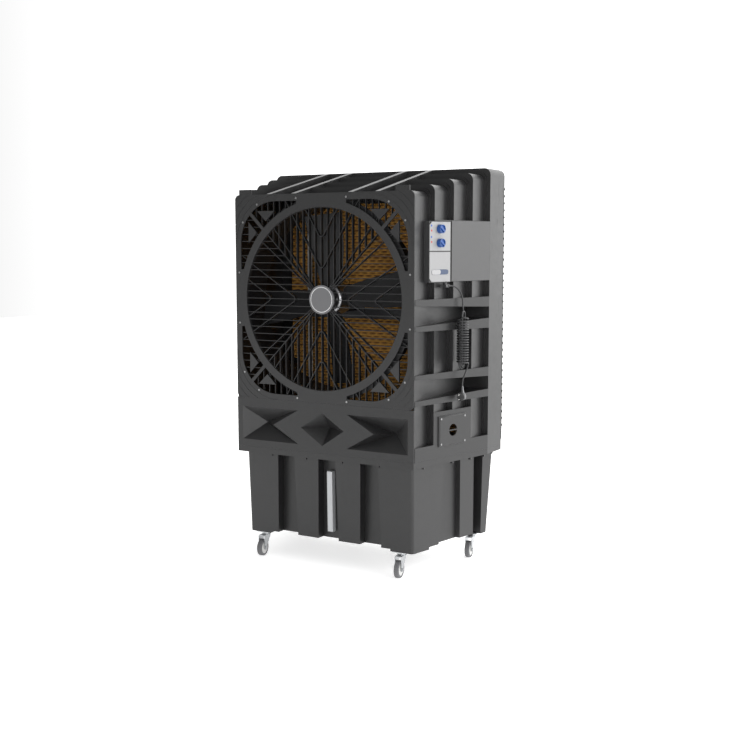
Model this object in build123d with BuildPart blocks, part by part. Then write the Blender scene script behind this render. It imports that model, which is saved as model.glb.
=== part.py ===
"""Mobile evaporative cooler: moulded tank on castors, stepped cabinet, axial fan, wet pads behind.

Millimetres. +Z is up, -Y is the air outlet (front), +X is the control side.
The origin is on the floor, under the middle of the cabinet.
"""
import math
import os

from build123d import *

os.makedirs("parts", exist_ok=True)

# ---------------------------------------------------------------- driving dimensions
DEPTH = 632.0            # outlet plate to louvre face
FRONT = -DEPTH / 2       # Y of the outlet plate's face
HALF_FRONT = 447.4       # half width of the outlet plate
FLARE = 0.23668          # the sides open by this much per mm of depth
FAN_Z = 1169.3           # fan axis above the floor
FAN_OPENING_R = 390.0
PLATE_TOP = 1617.2
PLATE_BOTTOM = 726.5
ROOF_RISE = 0.2352       # the roof climbs by this much per mm of depth
RIB_DEPTHS = (121.0, 240.0, 362.0)
FRAME_FRONT = 478.7      # depth at which the rear frame starts
FRAME_BACK = 622.0
SEAM_Z = 507.6           # cabinet stands on the tank here
SKIRT_Z = 481.5
TANK_BOTTOM = 108.0
WALL = 5.0
PLATE = 6.0              # thickness of the outlet plate
PAD_FRONT = 500.0
PAD_BACK = 600.0
CORNER_R = 30.0
GAP = 0.3                # play between separate mouldings

FLARE_ANGLE = math.atan(FLARE)
FRAME_HALF = HALF_FRONT + FLARE * FRAME_FRONT
FRAME_TOP = PLATE_TOP + ROOF_RISE * FRAME_FRONT


def flare(depth):
    """Half width of the cabinet's flared outline at a depth behind the outlet plate."""
    return HALF_FRONT + FLARE * depth


def roof(depth):
    """Height of the sloping roof line at a depth behind the outlet plate."""
    return PLATE_TOP + ROOF_RISE * depth


def upright(depth):
    """A plane that faces the front, at a depth behind the outlet plate; extrude by -t to go back."""
    return Plane.XZ.offset(-(FRONT + depth))


def side_plane(depth, z, off):
    """A plane on the right flared side, `off` proud of it, with x to the rear and y up."""
    origin = (
        flare(depth) + off * math.cos(FLARE_ANGLE),
        FRONT + depth - off * math.sin(FLARE_ANGLE),
        z,
    )
    along = (math.sin(FLARE_ANGLE), math.cos(FLARE_ANGLE), 0)
    outward = (math.cos(FLARE_ANGLE), -math.sin(FLARE_ANGLE), 0)
    return Plane(origin=origin, x_dir=along, z_dir=outward)


def save(part, name):
    """Label a finished piece and write its STEP file."""
    part.label = name
    export_step(part, f"parts/{name}.step")


# ---------------------------------------------------------------- tank
PILASTER_PITCH = 213.0
RECESS_HALF_TOP = 43.0
RECESS_HALF_BOTTOM = 53.0
TANK_TOP_PLAN = (423.0, 36.0, 540.0, 590.0)      # front half width, front depth, rear half width, rear depth
TANK_FOOT_PLAN = (418.0, 49.0, 526.0, 563.0)
FOOT_PAD_STEP = 10.0


def tank_plan(z, inset):
    """Half widths and depths of the drafted tank at a height, drawn in by an inset."""
    share = (z - TANK_BOTTOM) / (SKIRT_Z - TANK_BOTTOM)
    values = [foot + (top - foot) * share for foot, top in zip(TANK_FOOT_PLAN, TANK_TOP_PLAN)]
    half_front, front, half_rear, rear = values
    return half_front - inset, front + inset, half_rear - inset, rear - inset


def tank_side_x(z, depth):
    """Half width of the tank's side at a height and depth."""
    half_front, front, half_rear, rear = tank_plan(z, 0)
    return half_front + (half_rear - half_front) * (depth - front) / (rear - front)


def plan_sketch(z, half_front, front, half_rear, rear, radius):
    """A trapezoid in plan with rounded corners."""
    corners = [
        (-half_front, FRONT + front),
        (half_front, FRONT + front),
        (half_rear, FRONT + rear),
        (-half_rear, FRONT + rear),
    ]
    with BuildSketch(Plane.XY.offset(z)) as sketch:
        Polygon(*corners, align=None)
        if radius:
            fillet(sketch.vertices(), radius=radius)
    return sketch.sketch


def quad_loft(low_z, low_points, high_z, high_points):
    """A solid between two four-cornered outlines at two heights; points are (x, depth)."""
    with BuildPart() as block:
        for z, points in ((low_z, low_points), (high_z, high_points)):
            with BuildSketch(Plane.XY.offset(z)):
                Polygon(*[(x, FRONT + depth) for x, depth in points], align=None)
        loft()
    return block.part


def tank_recesses(grow):
    """The hollows between the tank's pilasters, grown on every side for the inner wall."""
    low_z = TANK_BOTTOM - 20
    high_z = SKIRT_Z + (grow if grow else 0)
    cutters = []
    for column in (-1, 0, 1):
        x = column * PILASTER_PITCH
        low = RECESS_HALF_BOTTOM + grow
        high = RECESS_HALF_TOP + grow
        for near, far_low, far_high in ((0.0, 88.0, 82.0), (640.0, 533.0, 556.0)):
            reach = grow if far_low > near else -grow
            outlines = []
            for half, far in ((low, far_low + reach), (high, far_high + reach)):
                outlines.append([(x - half, near), (x + half, near), (x + half, far), (x - half, far)])
            cutters.append(quad_loft(low_z, outlines[0], high_z, outlines[1]))
    for side in (-1, 1):
        for low_span, high_span, low_deep, high_deep in (
            ((217.0, 363.0), (240.0, 351.0), 20.0, 22.0),
            ((457.0, 512.0), (445.0, 510.0), 35.0, 42.0),
        ):
            outlines = []
            for z, (start, end), deep in ((low_z, low_span, low_deep), (high_z, high_span, high_deep)):
                start, end = start - grow, end + grow
                outlines.append(
                    [
                        (side * (tank_side_x(z, start) + 80), start),
                        (side * (tank_side_x(z, end) + 80), end),
                        (side * (tank_side_x(z, end) - deep - grow), end),
                        (side * (tank_side_x(z, start) - deep - grow), start),
                    ]
                )
            cutters.append(quad_loft(low_z, outlines[0], high_z, outlines[1]))
    return cutters


rim_plan = [
    (-HALF_FRONT, FRONT),
    (HALF_FRONT, FRONT),
    (FRAME_HALF, FRONT + FRAME_FRONT),
    (FRAME_HALF, FRONT + FRAME_BACK),
    (-FRAME_HALF, FRONT + FRAME_BACK),
    (-FRAME_HALF, FRONT + FRAME_FRONT),
]
HOOKS = [(92.0, 10.0), (272.0, 10.0)]
HOOKS += [(flare(depth) - 8, depth) for depth in (69.0, 250.0, 369.0, 462.0, 545.0)]
DRAIN_Z = 150.0
DRAIN_BORE_R = 18.0

outer_recesses = tank_recesses(0.0)
inner_recesses = tank_recesses(WALL)

with BuildPart() as tank_cavity:
    for z in (TANK_BOTTOM + FOOT_PAD_STEP + WALL, SEAM_Z + 1):
        add(plan_sketch(z, *tank_plan(z, WALL), 10.0))
    loft()
    for cutter in inner_recesses:
        add(cutter, mode=Mode.SUBTRACT)

with BuildPart() as tank:
    for z in (TANK_BOTTOM, SKIRT_Z):
        add(plan_sketch(z, *tank_plan(z, 0.0), 14.0))
    loft()
    for cutter in outer_recesses:
        add(cutter, mode=Mode.SUBTRACT)
    with BuildSketch(Plane.XY.offset(SKIRT_Z)):
        Polygon(*rim_plan, align=None)
    extrude(amount=SEAM_Z - SKIRT_Z - GAP)
    add(tank_cavity.part, mode=Mode.SUBTRACT)
    # the four castor pads stay full height, the floor between them is raised
    with BuildSketch(Plane.XY.offset(TANK_BOTTOM - 1)):
        with Locations((0, FRONT + 306)):
            Rectangle(620, 640)
        with Locations((0, FRONT + 306)):
            Rectangle(1200, 300)
    extrude(amount=FOOT_PAD_STEP + 1, mode=Mode.SUBTRACT)
    # moulded catches under the skirt
    for hook_x, hook_depth in HOOKS:
        for side in (-1, 1):
            x = min(hook_x, FRAME_HALF - 12)
            with Locations((side * x, FRONT + hook_depth, SKIRT_Z - 4.5)):
                Box(12, 8, 9)
    with BuildSketch(upright(700.0)):
        with Locations((0, DRAIN_Z)):
            Circle(DRAIN_BORE_R)
    extrude(amount=200, mode=Mode.SUBTRACT)
save(tank.part, "tank")

GAUGE_HALF = 13.0
with BuildPart() as level_gauge:
    with BuildSketch(Plane.YZ):
        Polygon((FRONT + 58, 420), (FRONT + 82.6, 420), (FRONT + 86.8, 150), (FRONT + 63, 150), align=None)
    extrude(amount=GAUGE_HALF, both=True)
    fillet(level_gauge.edges().filter_by(Axis.X), radius=3)
save(level_gauge.part, "level_gauge")

# the drain bore opens through the tank's rear wall, inside the middle rear recess
DRAIN_DEPTH = 533.0
with BuildPart() as drain_plug:
    with BuildSketch(upright(DRAIN_DEPTH - 12)):
        with Locations((0, DRAIN_Z)):
            Circle(DRAIN_BORE_R - GAP)
    extrude(amount=-24)
    with BuildSketch(upright(DRAIN_DEPTH + 8)):
        with Locations((0, DRAIN_Z)):
            Circle(26)
            with PolarLocations(26, 12):
                Circle(3, mode=Mode.SUBTRACT)
    extrude(amount=-14)
save(drain_plug.part, "drain_plug")

# ---------------------------------------------------------------- cabinet shell
BAR_EDGES = {            # z at the front and at the rear: bottom edge, then top edge
    "ledge_low": ((741.0, 740.0), (761.0, 773.0)),
    "bar_low": ((851.0, 830.0), (868.0, 871.0)),
    "ledge_high": ((1048.0, 1042.0), (1067.0, 1085.0)),
    "bar_high": ((1153.0, 1134.0), (1177.0, 1178.0)),
}
RECESS_BANDS = ((750.0, 860.0), (1055.0, 1165.0))
BELT_TOP = 568.0
HATCH_PAD = (121.0, 362.0, 706.0)        # depth span and top of the flat pad round the inlet hatch
CONTROL_PAD = (121.0, 1248.0, 1502.0)    # start depth, bottom and top of the flat pad behind the controls
RAIL_X = (143.0, 272.0)
RAIL_HALF = 12.0
BEAD_OUT = 9.0
BEAD_DEEP = 7.0
BEHIND = 20.0                            # how far the inner forms run past the open rear


def slab(half, top, start, end, bottom):
    """One step of the cabinet: an upright block with rounded shoulders between two depths."""
    with BuildPart() as block:
        with BuildSketch(upright(start)) as profile:
            with Locations((0, (bottom + top) / 2)):
                Rectangle(2 * half, top - bottom)
            fillet(profile.vertices().group_by(Axis.Y)[-1], radius=CORNER_R)
        extrude(amount=-(end - start))
    return block.part


def side_relief(inset, right_side):
    """The belt, bars and pads that fill the steps out to the flared side."""
    low = SEAM_Z - (1 if inset else 0)
    rear = FRAME_FRONT + (BEHIND if inset else 0)
    side = 1 if right_side else -1
    with BuildPart() as relief:
        with BuildSketch(Plane.XY.offset(low)):
            Polygon(
                (side * 400, FRONT),
                (side * (HALF_FRONT - inset), FRONT),
                (side * (flare(rear) - inset), FRONT + rear),
                (side * 400, FRONT + rear),
                align=None,
            )
        extrude(amount=1400)
        with BuildSketch(Plane.YZ):
            Polygon(
                (FRONT, low),
                (FRONT + rear, low),
                (FRONT + rear, BELT_TOP - inset),
                (FRONT, BELT_TOP - inset),
                align=None,
            )
            for (bottom_front, bottom_rear), (top_front, top_rear) in BAR_EDGES.values():
                Polygon(
                    (FRONT, bottom_front + inset),
                    (FRONT + rear, bottom_rear + inset),
                    (FRONT + rear, top_rear - inset),
                    (FRONT, top_front - inset),
                    align=None,
                )
            if right_side:
                start, end, top = HATCH_PAD
                Polygon(
                    (FRONT + start + inset, low),
                    (FRONT + end - inset, low),
                    (FRONT + end - inset, top - inset),
                    (FRONT + start + inset, top - inset),
                    align=None,
                )
                start, bottom, top = CONTROL_PAD
                Polygon(
                    (FRONT + start + inset, bottom + inset),
                    (FRONT + rear, bottom + inset),
                    (FRONT + rear, top - inset),
                    (FRONT + start + inset, top - inset),
                    align=None,
                )
        extrude(amount=side * 800, mode=Mode.INTERSECT)
    return relief.part


def cabinet_form(inset):
    """The cabinet's outer form, or its hollow when drawn in by the wall thickness."""
    bottom = SEAM_Z - (1 if inset else 0)
    depths = (0.0,) + RIB_DEPTHS + (FRAME_FRONT,)
    with BuildPart() as form:
        for index, start in enumerate(depths[:-1]):
            end = depths[index + 1] + inset
            begin = start + (inset if index else 0)
            if index == 3 and inset:
                end = FRAME_FRONT + BEHIND
            add(slab(flare(start) - inset, roof(start) - inset, begin, end, bottom))
            if not inset:
                add(slab(flare(start) + BEAD_OUT, roof(start) + BEAD_OUT, end - BEAD_DEEP, end, bottom))
        rear = FRAME_FRONT + BEHIND
        for low, high in RECESS_BANDS:
            for side in (-1, 1):
                with Locations((side * (HALF_FRONT - inset + 150), FRONT + rear / 2, (low + high) / 2)):
                    Box(300, rear + 1, high - low, mode=Mode.SUBTRACT)
        for side in (-1, 1):
            middle = side * (RAIL_X[0] + RAIL_X[1]) / 2
            with Locations((middle, FRONT + rear / 2, PLATE_TOP - inset + 100)):
                Box(RAIL_X[1] - RAIL_X[0], rear + 1, 200, mode=Mode.SUBTRACT)
            add(side_relief(inset, side > 0))
            for x in RAIL_X:
                with BuildSketch(Plane.YZ.offset(side * x)):
                    Polygon(
                        (FRONT, PLATE_TOP - 60),
                        (FRONT, PLATE_TOP - inset),
                        (FRONT + rear, roof(rear) - inset),
                        (FRONT + rear, PLATE_TOP - 60),
                        align=None,
                    )
                extrude(amount=RAIL_HALF - inset, both=True)
    return form.part


SWITCH_U = -4.0
CONTROL_DEPTH = 148.2
KNOB_Z = (1465.0, 1408.0)
SPINDLE_R = 3.0
HATCH_DEPTH = 236.0
HATCH_Z = 620.5
INLET_R = 26.0

outer_form = cabinet_form(0.0)
inner_form = cabinet_form(WALL)
with BuildPart() as housing_shell:
    add(outer_form)
    add(inner_form, mode=Mode.SUBTRACT)
    with Locations((0, FRONT - 100 + PLATE, 1100)):
        Box(1400, 200, 1400, mode=Mode.SUBTRACT)
    with Locations((0, FRONT + FRAME_FRONT + 100, 1100)):
        Box(1400, 200, 1400, mode=Mode.SUBTRACT)
    for z in KNOB_Z:
        with BuildSketch(side_plane(CONTROL_DEPTH, z, 10)):
            with Locations((SWITCH_U, 0)):
                Circle(SPINDLE_R + 2)
        extrude(amount=-40, mode=Mode.SUBTRACT)
    with BuildSketch(side_plane(HATCH_DEPTH, HATCH_Z, 10)):
        Circle(INLET_R + 3)
    extrude(amount=-60, mode=Mode.SUBTRACT)
save(housing_shell.part, "housing_shell")

# ---------------------------------------------------------------- lower front panel with its faceted relief
FACET_DEPTH = 65.0
FACET_Z = 613.0


def pocket(points, apex_x, depth, start, grow):
    """A pyramid whose base is an outline on the panel and whose point lies behind it."""
    spread = [
        (apex_x + (x - apex_x) * grow, FRONT + start, FACET_Z + (z - FACET_Z) * grow)
        for x, z in points
    ]
    tip = (apex_x, FRONT + depth, FACET_Z)
    faces = [Face(Wire.make_polygon(spread, close=True))]
    for index, point in enumerate(spread):
        faces.append(Face(Wire.make_polygon([point, spread[(index + 1) % len(spread)], tip], close=True)))
    return Solid(Shell(faces))


chevron = [(124.0, 687.0), (420.0, 687.0), (420.0, 539.0), (124.0, 539.0), (256.0, FACET_Z)]
diamond = [(-109.0, FACET_Z), (0.0, 684.0), (109.0, FACET_Z), (0.0, 541.0)]
reliefs = [
    ([(-x, z) for x, z in chevron], -330.0),
    (diamond, 0.0),
    (chevron, 330.0),
]
with BuildPart() as lower_front_panel:
    with BuildSketch(upright(0)):
        with Locations((0, (SEAM_Z + PLATE_BOTTOM - GAP) / 2)):
            Rectangle(2 * HALF_FRONT, PLATE_BOTTOM - SEAM_Z - GAP)
    extrude(amount=-(PLATE - GAP))
    for outline, apex_x in reliefs:
        add(pocket(outline, apex_x, FACET_DEPTH + 5, 4.0, 1.04))
    for outline, apex_x in reliefs:
        add(pocket(outline, apex_x, FACET_DEPTH, 0.0, 1.0), mode=Mode.SUBTRACT)
save(lower_front_panel.part, "lower_front_panel")

# ---------------------------------------------------------------- outlet plate
RING_R = 423.0
WINDOW_HALF = 418.0
WINDOW_R = 180.0
WINDOW_TIP = 125.0
STRUT = 15.0
GROOVE_R = 212.0
GROOVE_STEP = 18.0
TAB_X = 392.0
TAB_WIDE = 65.0
TAB_TALL = 22.0
SCREW_SPOTS = [(125.0, 428.5), (329.0, 405.5), (405.5, 329.0), (428.5, 110.5)]
SCREW_HEAD_R = 4.2
SCREW_R = 1.9


def corner_windows():
    """The eight openings between the ring and the plate's rounded corners."""
    with BuildSketch(upright(0)) as windows:
        with Locations((0, FAN_Z)):
            RectangleRounded(2 * WINDOW_HALF, 2 * WINDOW_HALF, WINDOW_R)
            Circle(RING_R, mode=Mode.SUBTRACT)
            Rectangle(2 * WINDOW_TIP, 1000, mode=Mode.SUBTRACT)
            Rectangle(1000, 2 * WINDOW_TIP, mode=Mode.SUBTRACT)
            for angle in (45, 135):
                Rectangle(1300, STRUT, rotation=angle, mode=Mode.SUBTRACT)
    return windows.sketch


def all_quadrants(x, z):
    """A spot and its mirror images about the fan axis."""
    return [(sx * x, FAN_Z + sz * z) for sx in (-1, 1) for sz in (-1, 1)]


with BuildPart() as fan_plate:
    with BuildSketch(upright(0)) as outline:
        with Locations((0, (PLATE_TOP + PLATE_BOTTOM) / 2)):
            RectangleRounded(2 * HALF_FRONT, PLATE_TOP - PLATE_BOTTOM, 22)
        with Locations((-TAB_X, PLATE_TOP + TAB_TALL / 2 - 4), (TAB_X, PLATE_TOP + TAB_TALL / 2 - 4)):
            Rectangle(TAB_WIDE, TAB_TALL + 8)
        with Locations((0, FAN_Z)):
            Circle(FAN_OPENING_R, mode=Mode.SUBTRACT)
    extrude(amount=-(PLATE - GAP))
    extrude(corner_windows(), amount=-PLATE, mode=Mode.SUBTRACT)
    with BuildSketch(upright(0)):
        for x, z in SCREW_SPOTS:
            with Locations(*all_quadrants(x, z)):
                Circle(SCREW_R + 0.1)
    extrude(amount=-PLATE, mode=Mode.SUBTRACT)
    # decorative contour lines in the four corners
    for quarter in range(4):
        for step in range(4):
            offset_out = 230.0 + GROOVE_STEP * step
            spread = math.hypot(offset_out, offset_out)
            bearing = math.radians(45 + 90 * quarter)
            cx = spread * math.cos(bearing)
            cz = FAN_Z + spread * math.sin(bearing)
            with BuildSketch(upright(0)):
                with BuildLine():
                    CenterArc((cx, cz), GROOVE_R, 90 * quarter, 90)
                trace(line_width=1.6)
            extrude(amount=-1.0, mode=Mode.SUBTRACT)
save(fan_plate.part, "fan_plate")

# ---------------------------------------------------------------- front guard
BAR_PITCH = 30.8
BAR_THICK = 2.6
BAR_COUNT = 13
GUARD_FRONT = 1.0
GUARD_BACK = 18.0
HUB_DISC_R = 62.0
ORNAMENT_FAR = 330.0
ORNAMENT_NEAR = 239.0
ORNAMENT_MIDDLE = (ORNAMENT_FAR + ORNAMENT_NEAR) / 2
ORNAMENT_BASE = 377.0
ORNAMENT_TIP = 333.0
V_TIPS = (123.0, 253.0)
V_ANGLE = math.radians(32)
RAY_ANGLE = math.radians(38.7)


def turned(x, z, quarter):
    """A spot turned by quarters about the fan axis."""
    bearing = math.radians(90 * quarter)
    c, s = round(math.cos(bearing)), round(math.sin(bearing))
    return x * c - z * s, FAN_Z + x * s + z * c


def guard_lines():
    """Straight bars, diagonals, rays and nested V bars of the guard, as one flat pattern."""
    with BuildSketch(upright(GUARD_FRONT)) as pattern:
        for quarter in range(4):
            for index in range(-BAR_COUNT, BAR_COUNT + 1):
                x = index * BAR_PITCH
                start = max(abs(x), HUB_DISC_R - 8)
                length = 436 - start
                if length > 10:
                    spot = turned(x, start + length / 2, quarter)
                    with Locations(spot):
                        Rectangle(BAR_THICK, length, rotation=90 * quarter)
            for tip in V_TIPS:
                arm = 440 - tip
                points = [
                    turned(-arm * math.tan(V_ANGLE), tip + arm, quarter),
                    turned(0, tip, quarter),
                    turned(arm * math.tan(V_ANGLE), tip + arm, quarter),
                ]
                with BuildLine():
                    FilletPolyline(*points, radius=14)
                trace(line_width=BAR_THICK)
            for side in (-1, 1):
                with BuildLine():
                    Line(
                        turned(side * 50 * math.sin(RAY_ANGLE), 50 * math.cos(RAY_ANGLE), quarter),
                        turned(side * 440 * math.sin(RAY_ANGLE), 440 * math.cos(RAY_ANGLE), quarter),
                    )
                trace(line_width=BAR_THICK)
            with BuildLine():
                Line(turned(34, 34, quarter), turned(400, 400, quarter))
            trace(line_width=BAR_THICK + 0.6)
    return pattern.sketch


# the guard lies flush in the round opening and runs on behind the plate's corner windows
with BuildPart() as guard_envelope:
    with BuildSketch(upright(GUARD_FRONT)):
        with Locations((0, FAN_Z)):
            Circle(FAN_OPENING_R - 2)
            Circle(HUB_DISC_R - 8, mode=Mode.SUBTRACT)
    extrude(amount=-(GUARD_BACK - GUARD_FRONT))
    with BuildSketch(upright(PLATE + GAP)):
        with Locations((0, FAN_Z)):
            RectangleRounded(2 * 426, 2 * 426, 186)
            Circle(HUB_DISC_R - 8, mode=Mode.SUBTRACT)
    extrude(amount=-(GUARD_BACK - PLATE - GAP))

with BuildPart() as front_guard:
    extrude(guard_lines(), amount=-(GUARD_BACK - GUARD_FRONT))
    add(guard_envelope.part, mode=Mode.INTERSECT)
    with BuildSketch(upright(PLATE + GAP)):
        with Locations((0, FAN_Z)):
            Circle(FAN_OPENING_R + 7)
            Circle(FAN_OPENING_R - 2, mode=Mode.SUBTRACT)
    extrude(amount=-(GUARD_BACK - PLATE - GAP))
    with BuildSketch(upright(12)):
        with Locations((0, FAN_Z)):
            Circle(HUB_DISC_R)
            Circle(HUB_DISC_R - 10, mode=Mode.SUBTRACT)
    extrude(amount=-(GUARD_BACK - 12))
    with Locations((0, FRONT + 6, FAN_Z)):
        Cylinder(HUB_DISC_R + GAP, 11.4, rotation=(90, 0, 0), mode=Mode.SUBTRACT)
    # triangular ornaments in the corner windows, carried by the bars behind them
    with BuildSketch(upright(1.0)):
        for sx in (-1, 1):
            for sz in (-1, 1):
                Polygon(
                    (sx * ORNAMENT_FAR, FAN_Z + sz * ORNAMENT_BASE),
                    (sx * ORNAMENT_NEAR, FAN_Z + sz * ORNAMENT_BASE),
                    (sx * ORNAMENT_MIDDLE, FAN_Z + sz * ORNAMENT_TIP),
                    align=None,
                )
                Polygon(
                    (sx * ORNAMENT_BASE, FAN_Z + sz * ORNAMENT_FAR),
                    (sx * ORNAMENT_BASE, FAN_Z + sz * ORNAMENT_NEAR),
                    (sx * ORNAMENT_TIP, FAN_Z + sz * ORNAMENT_MIDDLE),
                    align=None,
                )
    extrude(amount=-(PLATE + 3))
save(front_guard.part, "front_guard")

with BuildPart() as guard_hub:
    with BuildSketch(upright(0.4)):
        with Locations((0, FAN_Z)):
            Circle(HUB_DISC_R)
    extrude(amount=-10)
    fillet(guard_hub.edges().filter_by(GeomType.CIRCLE).sort_by(Axis.Y)[0], radius=1.5)
    with BuildSketch(upright(0.4)):
        with Locations((0, FAN_Z)):
            Circle(HUB_DISC_R - 8)
            Circle(HUB_DISC_R - 10.4, mode=Mode.SUBTRACT)
    extrude(amount=-0.8, mode=Mode.SUBTRACT)
save(guard_hub.part, "guard_hub")

# ---------------------------------------------------------------- fan, shroud and motor
SHROUD_FRONT = 20.0
SHROUD_BACK = 150.0
SHROUD_R = 390.0
FAN_DEPTH = 100.0
HUB_R = 66.0
BLADE_PITCH = 25.0
BLADE_THICK = 5.0
BLADE_ROOT = 60.0
BLADE_WAIST = 210.0
BLADE_TIP = 366.0
ROOT_HALF = 45.0
WAIST_HALF = 70.0
TIP_HALF = 82.5
BLADES = 4
FIRST_BLADE = -8.0
MOTOR_R = 60.0
MOTOR_FRONT = 158.0
MOTOR_BACK = 266.0
SHAFT_R = 11.0
FAN_AXIS = Axis((0, 0, FAN_Z), (0, 1, 0))

with BuildPart() as fan_shroud:
    with BuildSketch(upright(SHROUD_FRONT)):
        with Locations((0, FAN_Z)):
            Circle(436)
            Circle(SHROUD_R, mode=Mode.SUBTRACT)
    extrude(amount=-4)
    with BuildSketch(upright(SHROUD_FRONT)):
        with Locations((0, FAN_Z)):
            Circle(SHROUD_R + 4)
            Circle(SHROUD_R, mode=Mode.SUBTRACT)
    extrude(amount=-(SHROUD_BACK - SHROUD_FRONT))
save(fan_shroud.part, "fan_shroud")

# a broad flat paddle, set at a pitch to the fan's plane
BLADE_LEAN = math.radians(BLADE_PITCH)
BLADE_PLANE = Plane(
    origin=(0, FRONT + FAN_DEPTH, FAN_Z),
    x_dir=(math.cos(BLADE_LEAN), math.sin(BLADE_LEAN), 0),
    z_dir=(math.sin(BLADE_LEAN), -math.cos(BLADE_LEAN), 0),
)
with BuildPart() as one_blade:
    with BuildSketch(BLADE_PLANE) as paddle:
        with BuildLine():
            Polyline(
                (-ROOT_HALF, BLADE_ROOT),
                (ROOT_HALF, BLADE_ROOT),
                (WAIST_HALF, BLADE_WAIST),
                (TIP_HALF, BLADE_TIP),
                (-TIP_HALF, BLADE_TIP),
                (-WAIST_HALF, BLADE_WAIST),
                close=True,
            )
        make_face()
        fillet(paddle.vertices().sort_by(Axis.Z)[-2:], radius=28)
    extrude(amount=BLADE_THICK / 2, both=True)

with BuildPart() as fan_blades:
    for index in range(BLADES):
        add(one_blade.part.rotate(FAN_AXIS, FIRST_BLADE + 360 / BLADES * index))
save(fan_blades.part, "fan_blades")

with BuildPart() as fan_hub:
    with BuildSketch(upright(FAN_DEPTH - 45)):
        with Locations((0, FAN_Z)):
            Circle(HUB_R)
    extrude(amount=-90)
    fillet(fan_hub.edges().filter_by(GeomType.CIRCLE).sort_by(Axis.Y)[0], radius=14)
    with BuildSketch(upright(FAN_DEPTH - 45)):
        with Locations((0, FAN_Z)):
            Circle(28)
            with PolarLocations(40, 6):
                Circle(5)
    extrude(amount=4)
    with Locations((0, FRONT + FAN_DEPTH, FAN_Z)):
        Cylinder(SHAFT_R + 0.02, 200, rotation=(90, 0, 0), mode=Mode.SUBTRACT)
save(fan_hub.part, "fan_hub")

with BuildPart() as motor_shaft:
    with BuildSketch(upright(FAN_DEPTH - 44)):
        with Locations((0, FAN_Z)):
            Circle(SHAFT_R)
    extrude(amount=-(MOTOR_FRONT + 60 - FAN_DEPTH + 44))
save(motor_shaft.part, "motor_shaft")

FIN_COUNT = 24
with BuildPart() as motor_body:
    with BuildSketch(upright(MOTOR_FRONT)):
        with Locations((0, FAN_Z)):
            Circle(MOTOR_R - 7)
            with PolarLocations(MOTOR_R - 6, FIN_COUNT):
                Rectangle(12, 3)
    extrude(amount=-(MOTOR_BACK - MOTOR_FRONT))
    with BuildSketch(upright(MOTOR_FRONT)):
        with Locations((0, FAN_Z)):
            Circle(MOTOR_R - 20)
    extrude(amount=6)
    with BuildSketch(upright(MOTOR_FRONT - 6)):
        with Locations((0, FAN_Z)):
            Circle(SHAFT_R + 0.08)
    extrude(amount=-68, mode=Mode.SUBTRACT)
save(motor_body.part, "motor_body")

BEAM_HALF = 440.0
BEAM_Z = (FAN_Z - 92.0, FAN_Z - 46.0)
BEAM_DEEP = 28.0
BEAM_WALL = 3.0
CRADLE_WIDE = 110.0
CRADLE_TOP = FAN_Z + 42.0
with BuildPart() as motor_frame:
    with BuildSketch(upright(MOTOR_BACK + GAP)):
        with Locations((0, (BEAM_Z[0] + CRADLE_TOP) / 2)):
            RectangleRounded(CRADLE_WIDE, CRADLE_TOP - BEAM_Z[0], 10)
    extrude(amount=-5)
    with BuildSketch(upright(MOTOR_BACK + GAP + 5)):
        with Locations((0, (BEAM_Z[0] + BEAM_Z[1]) / 2)):
            Rectangle(2 * BEAM_HALF, BEAM_Z[1] - BEAM_Z[0])
    extrude(amount=-BEAM_DEEP)
    with BuildSketch(upright(MOTOR_BACK + GAP + 5 + BEAM_WALL)):
        with Locations((0, (BEAM_Z[0] + BEAM_Z[1]) / 2)):
            Rectangle(2 * BEAM_HALF - 2 * BEAM_WALL, BEAM_Z[1] - BEAM_Z[0] - 2 * BEAM_WALL)
    extrude(amount=-BEAM_DEEP, mode=Mode.SUBTRACT)
save(motor_frame.part, "motor_frame")

# ---------------------------------------------------------------- rear frame, pads and louvre
OPENING_HALF = 480.0
OPENING_BOTTOM = 560.0
OPENING_TOP = 1612.0
PIPE_NOTCH_X = (-478.0, -292.0)
PIPE_NOTCH_TOP = 1664.0
FRAME_WALL = 6.0

with BuildPart() as rear_frame:
    with BuildSketch(upright(FRAME_FRONT)) as outline:
        with Locations((0, (SEAM_Z + FRAME_TOP) / 2)):
            Rectangle(2 * FRAME_HALF, FRAME_TOP - SEAM_Z)
        fillet(outline.vertices().group_by(Axis.Y)[-1], radius=CORNER_R)
    extrude(amount=-(FRAME_BACK - FRAME_FRONT))
    with BuildSketch(upright(FRAME_FRONT + FRAME_WALL)) as hollow:
        with Locations((0, (SEAM_Z + FRAME_TOP) / 2)):
            Rectangle(2 * (FRAME_HALF - FRAME_WALL), FRAME_TOP - SEAM_Z - 2 * FRAME_WALL)
        fillet(hollow.vertices().group_by(Axis.Y)[-1], radius=CORNER_R - FRAME_WALL)
    extrude(amount=-200, mode=Mode.SUBTRACT)
    with BuildSketch(upright(FRAME_FRONT)):
        with Locations((0, (OPENING_BOTTOM + OPENING_TOP) / 2)):
            Rectangle(2 * OPENING_HALF, OPENING_TOP - OPENING_BOTTOM)
        with Locations(((PIPE_NOTCH_X[0] + PIPE_NOTCH_X[1]) / 2, OPENING_TOP)):
            Rectangle(PIPE_NOTCH_X[1] - PIPE_NOTCH_X[0], 2 * (PIPE_NOTCH_TOP - OPENING_TOP))
        for low, high in RECESS_BANDS:
            for side in (-1, 1):
                with Locations((side * OPENING_HALF, (low + high) / 2)):
                    Rectangle(2 * (OPENING_HALF - HALF_FRONT + WALL), high - low, mode=Mode.SUBTRACT)
    extrude(amount=-FRAME_WALL, mode=Mode.SUBTRACT)
    # water drips from the pads back to the tank through a slot in the frame's floor
    with Locations((0, FRONT + 550, SEAM_Z)):
        Box(900, 80, 30, mode=Mode.SUBTRACT)
save(rear_frame.part, "rear_frame")

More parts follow.
